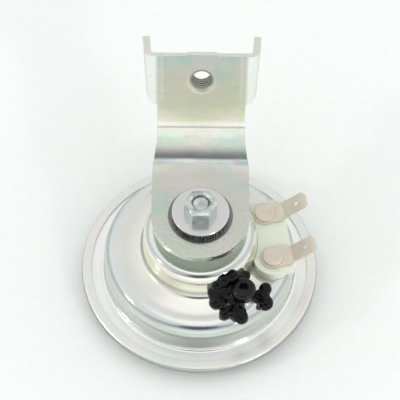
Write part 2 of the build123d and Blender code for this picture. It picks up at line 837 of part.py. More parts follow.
with BuildPart() as mounting_bracket:
    # bent strip, seen from its edge
    with BuildSketch(Plane.YZ):
        with BuildLine():
            run = Line((-tab_r, tab_top), (tab_run, tab_top))
            heel = JernArc(run @ 1, run % 1, heel_bend, heel_angle)
            crest = JernArc(heel @ 1, heel % 1, crest_bend, crest_angle - heel_angle)
            fold = JernArc(crest @ 1, crest % 1, fold_bend, fold_angle - crest_angle)
            ease = JernArc(fold @ 1, fold % 1, ease_bend, plate_tilt - fold_angle)
            PolarLine(ease @ 1, ear_foot, direction=ease % 1)
            offset(amount=bracket_sheet, side=Side.RIGHT)
        make_face()
    extrude(amount=tab_r, both=True)
    # its outline from above: round end, then a taper to the waist
    with BuildSketch():
        Circle(tab_r)
        with BuildLine():
            Polyline(
                (-tab_r, 0),
                (-tab_r, taper_start),
                (-waist_half, taper_start + taper_run),
                (-waist_half, 2 * plate_start.X),
                (waist_half, 2 * plate_start.X),
                (waist_half, taper_start + taper_run),
                (tab_r, taper_start),
                (tab_r, 0),
                close=True,
            )
        make_face()
    extrude(amount=2 * plate_start.Y, mode=Mode.INTERSECT)
    # mounting plate, widening to the top, with its short top tongue
    with BuildSketch(plate_plane):
        with BuildLine():
            Polyline(
                (-waist_half, ear_foot / 2),
                (-ear_foot_half, ear_foot),
                (-top_half, plate_length),
                (top_half, plate_length),
                (ear_foot_half, ear_foot),
                (waist_half, ear_foot / 2),
                close=True,
            )
        make_face()
        with Locations((0, plate_length)):
            Rectangle(2 * top_tongue_half, 2 * top_tongue)
    extrude(amount=-bracket_sheet)
    # ears folded to the back along slightly spreading bend lines
    for side in (1, -1):
        across = Vector(side * cos(radians(ear_lean)), 0, 0) - plate_up * sin(radians(ear_lean))
        along = Vector(side * sin(radians(ear_lean)), 0, 0) + plate_up * cos(radians(ear_lean))
        ear_plane = Plane(
            origin=plate_plane.from_local_coords((side * ear_foot_half, ear_foot, 0)),
            x_dir=across,
            z_dir=along * side,
        )
        with BuildSketch(ear_plane):
            with BuildLine():
                root = Line((-bracket_sheet, 0), (0, 0))
                bend = JernArc(root @ 1, root % 1, ear_bend, 90 - ear_flare)
                PolarLine(bend @ 1, ear_depth - ear_bend, direction=bend % 1)
                offset(amount=bracket_sheet, side=Side.LEFT)
            make_face()
        extrude(amount=side * ear_height)
    # the ears' lower corners are rounded off
    with BuildSketch(plate_plane):
        for side in (1, -1):
            with Locations((side * ear_side, ear_foot)):
                Rectangle(2 * ear_corner, 2 * ear_corner)
        for side in (1, -1):
            with Locations((side * (ear_side - ear_corner), ear_foot + ear_corner)):
                Circle(ear_corner, mode=Mode.SUBTRACT)
        with Locations((0, ear_foot)):
            Rectangle(2 * (ear_side - ear_corner), 2 * ear_height, mode=Mode.SUBTRACT)
        with Locations((0, ear_foot + ear_corner + ear_height)):
            Rectangle(4 * ear_side, 2 * ear_height, mode=Mode.SUBTRACT)
    extrude(amount=-ear_depth, mode=Mode.SUBTRACT)
    # threaded boss drawn out of the plate, with a rounded mouth
    with BuildSketch(plate_plane):
        with Locations(m8_centre):
            Circle(m8_boss_r)
    extrude(amount=-m8_length)
    with BuildSketch(plate_plane):
        with Locations(m8_centre):
            Circle(m8_minor_r)
    extrude(amount=-m8_length, mode=Mode.SUBTRACT)
    m8_mouth = plate_plane.from_local_coords((*m8_centre, 0))
    mouth_edge = mounting_bracket.edges().filter_by(GeomType.CIRCLE).sort_by(
        lambda edge: (edge.arc_center - m8_mouth).length + abs(edge.radius - m8_minor_r))[0]
    fillet(mouth_edge, m8_entry)
    with Locations((0, 0, tab_top)):
        Hole(stud_r + slip, depth=bracket_sheet)
finish(mounting_bracket.part, "mounting_bracket")

with BuildPart() as bracket_washer:
    with BuildSketch(Plane.XY.offset(tab_top)):
        Circle(washer_r)
        Circle(stud_r + slip, mode=Mode.SUBTRACT)
    extrude(amount=washer_height)
    chamfer(bracket_washer.edges().group_by(Axis.Z)[-1].sort_by(SortBy.RADIUS)[-1], washer_chamfer)
finish(bracket_washer.part, "bracket_washer")

with BuildPart() as bracket_nut:
    with BuildSketch(Plane.XY.offset(washer_top)):
        RegularPolygon(nut_flats / 2, 6, major_radius=False)
    extrude(amount=nut_height)
    # crown chamfer, turned
    with BuildSketch(Plane.XZ):
        with BuildLine():
            Polyline(
                (0, washer_top),
                (nut_flats, washer_top),
                (nut_flats, nut_top - nut_crown - nut_crown_slope * nut_flats / 2),
                (nut_flats / 2, nut_top - nut_crown),
                (nut_crown_r, nut_top),
                (0, nut_top),
                close=True,
            )
        make_face()
    revolve(axis=Axis.Z, mode=Mode.INTERSECT)
    with Locations((0, 0, nut_top)):
        CounterSinkHole(stud_r + slip / 2, nut_mouth_r)
finish(bracket_nut.part, "bracket_nut")
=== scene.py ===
# %% [markdown]
# # A disc horn, lying face down
# The horn is a pressed steel case with a tone disc under it, a folded
# bracket on top, two blade terminals on a nylon block and an adjusting
# screw that is locked with black sealing compound. The solids come from
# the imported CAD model, in metres, with the horn's axis on Z. This notebook
# dresses them: it builds the finishes and the few shapes that are too small
# or too soft for CAD, then lights the whole like a product on a pale table.

# %% Load the frame
import json
import math

import bmesh
import bpy
from mathutils import Matrix, Vector, noise


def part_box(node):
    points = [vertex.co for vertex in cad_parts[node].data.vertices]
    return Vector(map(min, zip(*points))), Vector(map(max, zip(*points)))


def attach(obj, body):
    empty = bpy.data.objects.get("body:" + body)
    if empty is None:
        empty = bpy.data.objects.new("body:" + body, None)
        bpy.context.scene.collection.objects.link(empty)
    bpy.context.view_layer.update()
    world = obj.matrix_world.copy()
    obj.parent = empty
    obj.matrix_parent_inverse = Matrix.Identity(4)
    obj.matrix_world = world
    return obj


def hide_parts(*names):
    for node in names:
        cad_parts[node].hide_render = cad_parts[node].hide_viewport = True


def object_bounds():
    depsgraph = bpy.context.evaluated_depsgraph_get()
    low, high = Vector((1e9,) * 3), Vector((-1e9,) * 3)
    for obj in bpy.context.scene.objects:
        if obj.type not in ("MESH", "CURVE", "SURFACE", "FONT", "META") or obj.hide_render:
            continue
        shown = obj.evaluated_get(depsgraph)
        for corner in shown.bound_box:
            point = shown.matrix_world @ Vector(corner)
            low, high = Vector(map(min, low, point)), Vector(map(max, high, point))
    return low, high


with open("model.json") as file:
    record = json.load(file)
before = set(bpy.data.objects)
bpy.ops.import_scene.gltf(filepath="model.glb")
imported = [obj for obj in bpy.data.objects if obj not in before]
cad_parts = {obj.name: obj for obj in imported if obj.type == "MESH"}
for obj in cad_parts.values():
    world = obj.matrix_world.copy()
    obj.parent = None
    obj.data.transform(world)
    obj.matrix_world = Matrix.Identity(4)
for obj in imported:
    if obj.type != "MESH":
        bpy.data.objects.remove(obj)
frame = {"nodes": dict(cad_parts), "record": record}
nodes = frame["nodes"]
cad_low, cad_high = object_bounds()
MM = 0.001
cad_size = [round(v / MM, 1) for v in cad_high - cad_low]
print("CAD nodes:", len(nodes), "| box in mm:", cad_size)

# %% [markdown]
# ## Camera
# A product shot is taken from a step back with a long lens, so that
# parallel edges stay nearly parallel. A camera can be placed by hand until
# it looks right, or worked out from known shapes. A round rim shows as an
# ellipse whose height over width gives the height of the view, and two
# rims at different levels give the distance. Three angles, a distance, a
# lens and the point aimed at are all it takes.

# %% Camera
view_height = math.radians(57.893)      # above the table
view_turn = math.radians(0.798)
view_roll = math.radians(1.249)
view_distance = 519.5 * MM
sensor_mm, lens_mm = 36.0, 123.28
nearest, farthest = 0.01, 20.0          # what the camera can see, in metres
ring_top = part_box("clamp_ring")[1].z
aim = Vector((0.11 * MM, 27.55 * MM, ring_top))

forward = Vector((math.sin(view_turn) * math.cos(view_height),
                  math.cos(view_turn) * math.cos(view_height),
                  -math.sin(view_height)))
level = Vector((math.cos(view_turn), -math.sin(view_turn), 0))
upright = level.cross(forward)
right = level * math.cos(view_roll) + upright * math.sin(view_roll)
up = upright * math.cos(view_roll) - level * math.sin(view_roll)

camera_data = bpy.data.cameras.new("camera")
camera_data.sensor_width, camera_data.lens = sensor_mm, lens_mm
camera_data.clip_start, camera_data.clip_end = nearest, farthest
camera = bpy.data.objects.new("camera", camera_data)
bpy.context.scene.collection.objects.link(camera)
turn = Matrix((right, up, -forward)).transposed()
camera.matrix_world = Matrix.Translation(aim - forward * view_distance) @ turn.to_4x4()
bpy.context.scene.camera = camera
print("camera at", [round(v, 3) for v in camera.location], "m")

# %% [markdown]
# ## Shader maths in Python
# Every finish below varies over the surface: grain, tints, rubbed edges.
# Such a pattern is a small formula, and a formula reads best as one. The
# class Value wraps a node socket, so that `1 - mask * 0.5` adds the Math
# nodes by itself. Finish builds one material; its method `node` adds any
# other node: its type, its settings, then its inputs.

# %% Value and Finish
class Value:
    """One number that varies over a surface."""

    def __init__(self, finish, socket):
        self.finish, self.socket = finish, socket

    def math(self, operation, *terms, **settings):
        return self.finish.node("ShaderNodeMath", {"operation": operation, **settings},
                                dict(enumerate(terms)))

    def __add__(self, other): return self.math("ADD", self, other)
    def __radd__(self, other): return self.math("ADD", other, self)
    def __sub__(self, other): return self.math("SUBTRACT", self, other)
    def __rsub__(self, other): return self.math("SUBTRACT", other, self)
    def __mul__(self, other): return self.math("MULTIPLY", self, other)
    def __rmul__(self, other): return self.math("MULTIPLY", other, self)
    def __pow__(self, other): return self.math("POWER", self, other)
    def clamp(self): return self.math("ADD", self, 0.0, use_clamp=True)
    def above(self, start, full):
        """0 below start, rising to 1 at full."""
        return ((self - start) * (1 / (full - start))).clamp()
    def band(self, middle, half, soft):
        """1 within half of middle, fading over soft."""
        return 1 - (self - middle).apart().above(half, half + soft)
    def eased(self, start, full):
        """Like above, but with soft ends."""
        return self.finish.node("ShaderNodeMapRange", {"interpolation_type": "SMOOTHSTEP"},
                                {0: self, 1: start, 2: full})
    def wave(self): return self.math("SINE", self)
    def root(self): return self.math("SQRT", self)
    def apart(self):
        """How far from 0, on either side."""
        return self.math("ABSOLUTE", self)


class Finish:
    """One material, built from formulas."""

    def __init__(self, name, **constants):
        self.material = bpy.data.materials.new(name)
        self.material.use_nodes = True
        self.tree = self.material.node_tree
        self.shader = self.tree.nodes["Principled BSDF"]
        for socket, value in constants.items():
            self.shader.inputs[socket.replace("_", " ")].default_value = value
        self.place = self.node("ShaderNodeTexCoord", output="Object")
        self.millimetres = self.node("ShaderNodeVectorMath", {"operation": "SCALE"},
                                     {0: self.place, "Scale": 1 / MM})
        self.x, self.y, self.z = self.split(self.millimetres)

    def node(self, kind, settings=None, inputs=None, output=0):
        made = self.tree.nodes.new(kind)
        for name, value in (settings or {}).items():
            if name == "stops":
                ramp = made.color_ramp
                while len(ramp.elements) < len(value):
                    ramp.elements.new(1.0)
                for element, (position, colour) in zip(ramp.elements, value):
                    element.position, element.color = position, (*colour, 1)
            else:
                setattr(made, name, value)
        for name, value in (inputs or {}).items():
            if isinstance(value, Value):
                self.tree.links.new(value.socket, made.inputs[name])
            else:
                made.inputs[name].default_value = value
        return Value(self, made.outputs[output])

    def split(self, vector):
        made = self.tree.nodes.new("ShaderNodeSeparateXYZ")
        self.tree.links.new(vector.socket, made.inputs[0])
        return [Value(self, made.outputs[axis]) for axis in range(3)]

    def join(self, x, y, z):
        return self.node("ShaderNodeCombineXYZ", {}, {0: x, 1: y, 2: z})

    def from_axis(self):
        """Distance from the horn's axis, in millimetres."""
        return (self.x * self.x + self.y * self.y).root()

    def round_axis(self):
        """Angle round the horn's axis, in radians."""
        return self.x.math("ARCTAN2", self.y, self.x)

    def facing(self):
        """The surface's own direction, as three numbers."""
        return self.split(self.node("ShaderNodeNewGeometry", output="Normal"))

    def grain(self, size, detail=2.0, roughness=0.5, stretch=(1, 1, 1), where=None):
        """Cloudy noise from 0 to 1, with patches of about size millimetres."""
        scaled = self.node("ShaderNodeMapping", {"vector_type": "POINT"},
                           {"Vector": where or self.millimetres,
                            "Scale": [s / size for s in stretch]})
        return self.node("ShaderNodeTexNoise", {},
                         {"Vector": scaled, "Scale": 1.0, "Detail": detail, "Roughness": roughness})

    def tint(self, value, stops):
        """Colour looked up along a number."""
        return self.node("ShaderNodeValToRGB", {"stops": stops}, {0: value})

    def mix(self, factor, first, second, how="MIX"):
        def colour(c):
            return c if isinstance(c, Value) else (*c, 1)
        return self.node("ShaderNodeMix", {"data_type": "RGBA", "blend_type": how},
                         {0: factor, 6: colour(first), 7: colour(second)}, output=2)

    def layers(self, colour, tones):
        """Tones laid over a colour one after another, each where its mask says."""
        for mask, tone in tones:
            colour = self.mix(mask, colour, tone)
        return colour

    def relief(self, height, depth, under=None):
        """Bump of depth millimetres, laid over another one if there is one."""
        inputs = {"Height": height, "Strength": 1.0, "Distance": depth * MM}
        if under:
            inputs["Normal"] = under
        return self.node("ShaderNodeBump", {}, inputs)

    def soft_edges(self, radius):
        """Corners that catch the light as if rounded."""
        return self.node("ShaderNodeBevel", {"samples": 4}, {"Radius": radius * MM})

    def feed(self, **links):
        for socket, value in links.items():
            self.tree.links.new(value.socket, self.shader.inputs[socket.replace("_", " ")])
        return self


finishes = {}
print("helpers ready")

# %% [markdown]
# ## Bright zinc
# The case, ring, tone disc, washer and nut are barrel-plated with zinc and
# dipped in a clear passivate. That film is thinner than a wavelength of
# light, so it shows faint pink, green and straw clouds. Painting them flat
# would look like plastic; here slow noise picks the tint, fine noise gives
# the slight dullness, and the soft room does the rest. The coat is not a
# perfect mirror: a tenth of the light is scattered, which keeps the deep
# folds from going black.

# %% Bright zinc
pearl = [
    (0.28, (0.60, 0.70, 0.66)),
    (0.40, (0.68, 0.74, 0.66)),
    (0.50, (0.74, 0.74, 0.70)),
    (0.60, (0.78, 0.72, 0.71)),
    (0.72, (0.80, 0.78, 0.63)),
]
zinc = Finish("zinc_steel", Metallic=0.9)
zinc_colour = zinc.tint(zinc.grain(14.0, detail=1.5, roughness=0.4), pearl)
pores = zinc.grain(0.5, detail=3.0)
speck = zinc.grain(0.18, detail=1.0)
zinc.feed(Base_Color=zinc.mix((speck - 0.5) * 0.25, zinc_colour, (0.55, 0.57, 0.55)),
          Roughness=0.16 + (pores - 0.5) * 0.08,
          Normal=zinc.relief(speck, 0.0025, under=zinc.soft_edges(0.25)))
finishes["zinc_steel"] = zinc
print("bright zinc made")

# %% [markdown]
# ## Nut
# The nut comes from another batch, with a bluer film. Its side flats also
# carry a teal tint, a painted reflection that is the same on every flat.
# The same finish serves the stud, whose end was struck by a tool and shows
# shallow dimples. Height and distance from the axis tell the stud's end from
# the nut.

# %% Nut
stud_end_mm, stud_flat_mm = 52.0, 2.4           # height of the stud's end, radius of its flat
nut = Finish("zinc_steel_nut", Metallic=0.85)
clouds = nut.grain(3.5, detail=2.0)
speck = nut.grain(0.25, detail=2.0)
stud_end = (nut.z.above(stud_end_mm, stud_end_mm + 0.2)
            * (1 - nut.from_axis().above(stud_flat_mm, stud_flat_mm + 0.4)))
dimples = nut.grain(1.1, detail=1.0) * stud_end
flats = 1 - nut.facing()[2].apart().above(0.3, 0.6)
nut_colour = nut.tint(clouds, [
    (0.34, (0.36, 0.42, 0.41)),
    (0.50, (0.56, 0.60, 0.58)),
    (0.64, (0.72, 0.72, 0.68)),
])
nut_colour = nut.layers(nut_colour, [
    # painted reflection: a teal tint on the side flats
    (flats * 0.4, (0.66, 0.84, 0.88)),
    ((speck - 0.5) * 0.5, (0.50, 0.56, 0.57)),
])
nut_skin = nut.relief(dimples, 0.12, under=nut.soft_edges(0.35))
nut.feed(Base_Color=nut_colour, Roughness=0.24 + (speck - 0.5) * 0.15,
         Normal=nut.relief(speck, 0.01, under=nut_skin))
finishes["zinc_steel_nut"] = nut
print("nut made")

# %% [markdown]
# ## Washer
# The washer is punched from thick sheet. Its face is bright and flat, but
# its edge is sheared, and rubbed dark with upright streaks. The finish tells
# edge from face by the direction in which the surface looks, and the streaks
# are noise in polar coordinates, drawn out upwards.

# %% Washer
washer = Finish("zinc_steel_washer", Metallic=0.85)
streaks = washer.grain(1.0, detail=3.0, where=washer.join(
    washer.round_axis() * 22, 0.0, washer.z * 0.25))
rub = washer.grain(0.4, detail=3.0, stretch=(1, 3, 1))
sheared_edge = 1 - washer.facing()[2].apart().above(0.2, 0.6)
face_colour = washer.mix(0.85, washer.tint(washer.grain(8.0, detail=2.0), pearl),
                         (0.62, 0.63, 0.615))
edge_colour = washer.tint(streaks, [
    (0.36, (0.02, 0.02, 0.02)),
    (0.50, (0.09, 0.09, 0.09)),
    (0.58, (0.34, 0.34, 0.33)),
    (0.70, (0.60, 0.60, 0.58)),
])
washer.feed(Base_Color=washer.mix(sheared_edge, face_colour, edge_colour),
            Roughness=0.22 + (rub - 0.5) * 0.15,
            Normal=washer.relief(rub, 0.004, under=washer.soft_edges(0.2)))
finishes["zinc_steel_washer"] = washer
print("washer made")

# %% [markdown]
# ## The drawn case
# Deep drawing stretches the sheet most in the walls and bends, and there
# the film differs from the flats. On a round cup the tints therefore lie in
# rings. The same rings also hold painted light: bright and dark rings that
# stand in for reflections at the bends and walls, a lightened roof under
# the tab and a lightened flange. Their colours are looked up by a walk along
# the case's outline, outwards and downwards from the axis: radius minus
# height grows all the way.

# %% Drawn case
case_top_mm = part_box("housing")[1].z / MM
hub_edge_mm, neck_foot_mm, outer_bend_mm = 19.4, 30.3, 46.3     # places on the walk
flange_mm, flange_top_mm = 35.4, 8.0            # its inner radius and its height
whole_walk_mm = 70.0

drawn = Finish("zinc_steel_drawn", Metallic=0.88)
radius = drawn.from_axis()
walk = radius + (case_top_mm - drawn.z)         # 0 at the axis, about 67 at the flange's edge
drift = (drawn.grain(16.0, detail=1.5) - 0.5) * 7
# film tints, with painted light: bright and dark rings, a lighter roof and flange
ring_tints_and_painted_light = drawn.tint((walk + drift * 0.6) * (1 / whole_walk_mm), [
    (0.20, (0.84, 0.94, 0.84)),
    (0.27, (0.80, 0.84, 0.82)),
    (0.32, (0.90, 0.89, 0.76)),
    (0.40, (0.88, 0.86, 0.70)),
    (0.49, (0.82, 0.81, 0.74)),
    (0.56, (0.72, 0.71, 0.67)),
    (0.61, (0.72, 0.73, 0.71)),
    (0.64, (0.60, 0.68, 0.72)),
    (0.68, (0.56, 0.61, 0.56)),
    (0.72, (0.68, 0.74, 0.66)),
    (0.74, (0.60, 0.66, 0.63)),
    (0.81, (0.46, 0.48, 0.50)),
    (0.84, (0.80, 0.82, 0.80)),
    (0.89, (0.93, 0.95, 0.93)),
    (0.97, (0.86, 0.90, 0.85)),
])
sheen = drawn.tint(drawn.grain(9.0, detail=2.0, roughness=0.45), pearl)
speck = drawn.grain(0.2, detail=1.0)
draw_lines = drawn.grain(1.0, detail=2.0, where=drawn.join(
    drawn.round_axis() * 60, walk * 0.25, 0.0))
dishing = radius.eased(28.5, 22.5)              # the press leaves the shoulder a little conical
flange = (radius.above(flange_mm, flange_mm + 0.8)
          * (1 - drawn.z.above(flange_top_mm, flange_top_mm + 1.0)))
roof = 1 - walk.above(15.5, 17.0)
shade = drawn.mix((1 - flange * 0.3) * 0.30, ring_tints_and_painted_light, sheen)
shade = drawn.layers(shade, [                   # painted shade: dark rings at the bends, standing in for their dark reflections
    (walk.band(outer_bend_mm, 0.5, 0.9) * 0.40, (0.16, 0.20, 0.21)),
    (walk.band(hub_edge_mm, 0.7, 0.7) * 0.40, (0.16, 0.17, 0.18)),
    (walk.band(neck_foot_mm, 1.1, 0.9) * 0.45, (0.20, 0.21, 0.22)),
    ((speck - 0.5) * 0.25, (0.50, 0.52, 0.50)),
])
drawn.feed(Base_Color=shade,
           Roughness=0.13 + (draw_lines - 0.5) * 0.10 + flange * 0.22 + roof * 0.22,
           Normal=drawn.relief(draw_lines, 0.002, under=drawn.relief(dishing, 0.45)))
finishes["zinc_steel_drawn"] = drawn
print("case top at", round(case_top_mm, 2), "mm")

# %% [markdown]
# ## Clamp ring
# The ring is rolled over the flange by a turning tool. The roller leaves
# short marks across the lip and dulls it, so its grain runs round the axis.
# Noise in polar coordinates does that: the angle is stretched into a long
# strip and the radius across it.

# %% Rolled lip
lip_edge_mm = 42.75
rolled = Finish("zinc_steel_rolled", Metallic=0.9)
radius = rolled.from_axis()
chatter = rolled.grain(1.0, detail=3.0, where=rolled.join(
    rolled.round_axis() * 70, radius * 0.3, rolled.z * 0.3))
lip_clouds = rolled.tint(rolled.grain(22.0, detail=1.5), pearl)
lip_colour = rolled.layers(rolled.mix(0.6, (0.80, 0.82, 0.78), lip_clouds), [
    # painted shade: the lip's outer edge is darkened, a dark outline where the rim turns down
    (radius.above(lip_edge_mm, lip_edge_mm + 0.35) * 0.7, (0.20, 0.23, 0.24)),
    ((chatter - 0.35) * 0.5, (0.84, 0.85, 0.82)),
])
rolled.feed(Base_Color=lip_colour, Roughness=0.33 + (chatter - 0.5) * 0.2,
            Normal=rolled.relief(chatter, 0.012, under=rolled.soft_edges(0.25)))
finishes["zinc_steel_rolled"] = rolled
print("rolled lip made")

# %% [markdown]
# ## Bracket: places on the strip
# The bracket is thicker strip, blanked, folded and plated. Its finish takes
# three steps, and the first is to know where on the strip a point lies:
# plate, ears, bends, cut edges, the ring of painted shadow round the washer.
# Each place is a mask, measured along the strip or told by the direction in
# which the surface looks as the horn lies, so it stays on the metal from
# every side.

# %% Places on the strip
m8 = next(mount for mount in frame["record"]["mounts"] if mount["name"] == "bracket_m8")
m8_centre = Vector(m8["pos_m"]) / MM
m8_axis = Vector(m8["axis"]).normalized()       # out of the plate's front
up_the_plate = Vector((0, m8_axis.z, -m8_axis.y))
round_end_mm, fold_mm, ear_mm = -8.0, 30.5, 14.9        # y, y and distance from the middle
plate_slope, plate_foot_mm = 0.35, 60.4         # the slanting line where the plate starts


def along(finish, origin, direction):
    """Distance in millimetres from a point, measured along a direction."""
    return ((finish.x - origin.x) * direction.x + (finish.y - origin.y) * direction.y
            + (finish.z - origin.z) * direction.z)


satin = Finish("zinc_steel_satin", Metallic=0.88)
face_x, face_y, face_z = satin.facing()
up_plate = along(satin, m8_centre, up_the_plate)        # 0 at the threaded hole
out_of_plate = along(satin, m8_centre, m8_axis)
from_middle = satin.x.apart()
from_stud = satin.from_axis()
on_plate = (satin.z + satin.y * plate_slope).above(plate_foot_mm, plate_foot_mm + 1.0)
off_plate = 1 - on_plate
front = (face_y * m8_axis.y + face_z * m8_axis.z).above(0.90, 0.97)
top_edges = (face_y * up_the_plate.y + face_z * up_the_plate.z).above(0.7, 0.9) * on_plate
ear_bend = from_middle.above(ear_mm, ear_mm + 1.5) * on_plate * (1 - top_edges)
ear_side_painted_shade = ear_bend * face_x.apart().above(0.80, 0.99)
painted_bend_highlight = from_middle.band(14.05, 0.2, 0.9) * on_plate * front * up_plate.above(-13.0, -5.0)
fold = satin.y.above(fold_mm, fold_mm + 2.0)    # the sharp bend at the plate's foot
# painted light: the tab's underside over the hub is lightened, so the hub's roof reflects more
# light
painted_light_underneath = (face_z * -1.0).above(0.5, 0.9) * (1 - from_stud.above(18.0, 24.0))
cut_edge = (1 - face_z.apart().above(0.10, 0.35)) * off_plate
round_end = 1 - satin.y.above(round_end_mm - 5.0, round_end_mm)
# painted shadow: a dark ring on the tab round the washer
painted_washer_shadow = (1 - from_stud.above(11.2, 11.5)) * off_plate * face_z.above(0.5, 0.9)
print("threaded hole at", [round(v, 1) for v in m8_centre], "mm")

# %% [markdown]
# ## Bracket: tints
# The film took colour in bands where the strip was bent and stretched:
# straw at the fold, rose and green up the plate. Painted reflections lie in
# the same bands: light and dark bands where the tab is joggled and folded,
# and a dark blue-green band under the plate's top edge. Two ramps hold them,
# one up the plate and one along the tab. Noise is added to the length before
# it is looked up, so that the bands wander.

# %% Bracket tints
plate_tints_mm, tab_tints_mm = 30.0, 62.0       # the length that each ramp covers
wander = satin.grain(9.0, detail=1.5) - 0.5
plate_colour = satin.tint((up_plate + wander * 7) * (1 / plate_tints_mm) + 0.62, [
    (0.06, (0.86, 0.85, 0.66)),
    (0.20, (0.76, 0.77, 0.56)),
    (0.30, (0.58, 0.63, 0.44)),
    (0.48, (0.54, 0.56, 0.41)),
    (0.66, (0.51, 0.50, 0.42)),
    (0.80, (0.49, 0.51, 0.46)),
    # from here up: a darker blue-green, a painted reflection of the rounded top edge
    (0.90, (0.42, 0.50, 0.47)),
    (0.96, (0.34, 0.48, 0.48)),
])
tab_colour = satin.tint((satin.y + wander * 4 + 20) * (1 / tab_tints_mm), [
    (0.05, (0.53, 0.58, 0.50)),
    (0.35, (0.50, 0.56, 0.49)),
    (0.50, (0.54, 0.56, 0.51)),
    (0.60, (0.62, 0.59, 0.55)),
    # from here to the end: light and dark bands, painted reflections of the joggle and the fold
    (0.66, (0.80, 0.78, 0.73)),
    (0.695, (0.26, 0.39, 0.46)),
    (0.72, (0.50, 0.53, 0.47)),
    (0.765, (0.60, 0.66, 0.58)),
    (0.81, (0.54, 0.62, 0.54)),
    (0.835, (0.76, 0.84, 0.72)),
    (0.86, (0.92, 0.92, 0.86)),
])
satin_clouds = satin.tint(satin.grain(8.0, detail=2.5), [
    (0.34, (0.46, 0.64, 0.62)),
    (0.44, (0.58, 0.70, 0.52)),
    (0.52, (0.72, 0.64, 0.60)),
    (0.62, (0.76, 0.66, 0.68)),
    (0.72, (0.82, 0.77, 0.50)),
])
back_of_plate = (0.62, 0.63, 0.57)
strip_colour = satin.mix(on_plate, tab_colour, satin.mix(front, back_of_plate, plate_colour))
print("bracket tints made")

# %% [markdown]
# ## Bracket: thread, wear and painted light
# The thread in the hole is too fine to model for its size, so it is a wave
# along the bore that climbs one pitch a turn, and its grooves are painted
# dark as shade. On the mouth's rounding a straw ring is a painted reflection,
# and a dark ring inside it is painted shade. Round the nut the zinc was
# burnished less and sparkles. The sheared edges are painted bright as a
# highlight, with torn spots at the round end, and a dark ring of painted
# shadow lies round the washer.

# %% Thread, wear and painted light
thread_pitch, bore_mm = 1.25, 3.32
across = satin.x - m8_centre.x
from_hole = (across ** 2 + up_plate * up_plate).root()
in_bore = from_hole.band(bore_mm, 0.12, 0.1) * (1 - out_of_plate.above(2.9, 3.3))
turn_of_thread = across.math("ARCTAN2", up_plate, across)
ridges = (out_of_plate * (2 * math.pi / thread_pitch) + turn_of_thread).wave()
painted_groove_shade = ridges.above(0.1, 0.4) * in_bore
tear = satin.grain(2.2, detail=3.0, stretch=(1.0, 1.0, 1.6))
torn = cut_edge * tear.above(0.46, 0.49) * satin.x.above(1.5, 3.5) * round_end
streak = satin.grain(1.0, detail=3.0, stretch=(0.12, 1.6, 1.6)) - 0.5
sparkle = satin.grain(0.62, detail=2.0, roughness=0.7)
grainy = (1 - satin.y.above(-4.0, 16.0)) * 0.65 + 0.35
strip_colour = satin.layers(strip_colour, [
    # painted light under the tab
    (painted_light_underneath, (0.94, 0.98, 0.92)),
    # painted highlight: the sheared edges off the plate are made bright
    (cut_edge * 0.8, (0.96, 0.97, 0.94)),
    (torn, (0.02, 0.02, 0.02)),
    # painted highlight: a light line along both ear bends
    (painted_bend_highlight * 0.3, (0.84, 0.85, 0.76)),
    # painted highlight: the ears are made near white
    (ear_bend * 0.9, (0.90, 0.92, 0.89)),
    # painted shade: the sideways faces of the ears are darker
    (ear_side_painted_shade * 0.6, (0.52, 0.55, 0.52)),
    # painted light: the plate's top edges, which face up, are made pale
    (top_edges, (0.76, 0.75, 0.68)),
    (from_hole.band(4.6, 0.5, 0.3) * on_plate * 0.35, (0.92, 0.86, 0.48)),     # painted reflection: a straw ring on the mouth's rounding
    (from_hole.band(3.9, 0.5, 0.3) * on_plate * 0.4, (0.06, 0.07, 0.07)),      # painted shade: a dark ring inside the mouth
    # painted shadow round the washer
    (painted_washer_shadow * 0.75, (0.07, 0.07, 0.07)),
    ((1 - ear_bend) * (1 - painted_washer_shadow) * 0.35, satin_clouds),
    ((sparkle - 0.5) * grainy * 2.2 + streak * 0.5, (0.34, 0.37, 0.33)),
    # painted shade in the thread's grooves
    (painted_groove_shade, (0.02, 0.02, 0.02)),
])
strip_skin = satin.relief(sparkle, 0.014, under=satin.soft_edges(0.3))
satin.feed(Base_Color=strip_colour,
           Roughness=0.24 + on_plate * 0.12 + fold * 0.13 + (sparkle - 0.4) * grainy * 0.3,
           Normal=satin.relief(ridges * in_bore, 0.2, under=strip_skin))
finishes["zinc_steel_satin"] = satin
print("bracket finish made")

# %% [markdown]
# ## Tinned brass
# Blades and rivets are brass with a dull tin coat, warm grey with a little
# pink. Tin is soft: it marks in fine random scratches and dulls where the
# press tool touched it.

# %% Tinned brass
tin = Finish("tinned_brass", Metallic=0.55)
clouds = tin.grain(6.0, detail=2.0)
scratch = tin.grain(0.35, detail=3.0, stretch=(1.0, 6.0, 1.0))
tin_colour = tin.tint(clouds, [
    (0.30, (0.64, 0.58, 0.49)),
    (0.55, (0.72, 0.65, 0.55)),
    (0.75, (0.75, 0.70, 0.60)),
])
tin.feed(Base_Color=tin.mix((scratch - 0.5) * 0.5, tin_colour, (0.50, 0.45, 0.40)),
         Roughness=0.38 + (scratch - 0.5) * 0.2,
         Normal=tin.relief(scratch, 0.006, under=tin.soft_edges(0.2)))
finishes["tinned_brass"] = tin
print("tinned brass made")

# %% [markdown]
# ## Nylon block
# Natural nylon lets light a little way in, which lifts its shadows and
# gives it a pale, slightly green cast. A touch of subsurface scattering does
# this; the colour varies slowly with the moulding's thickness.

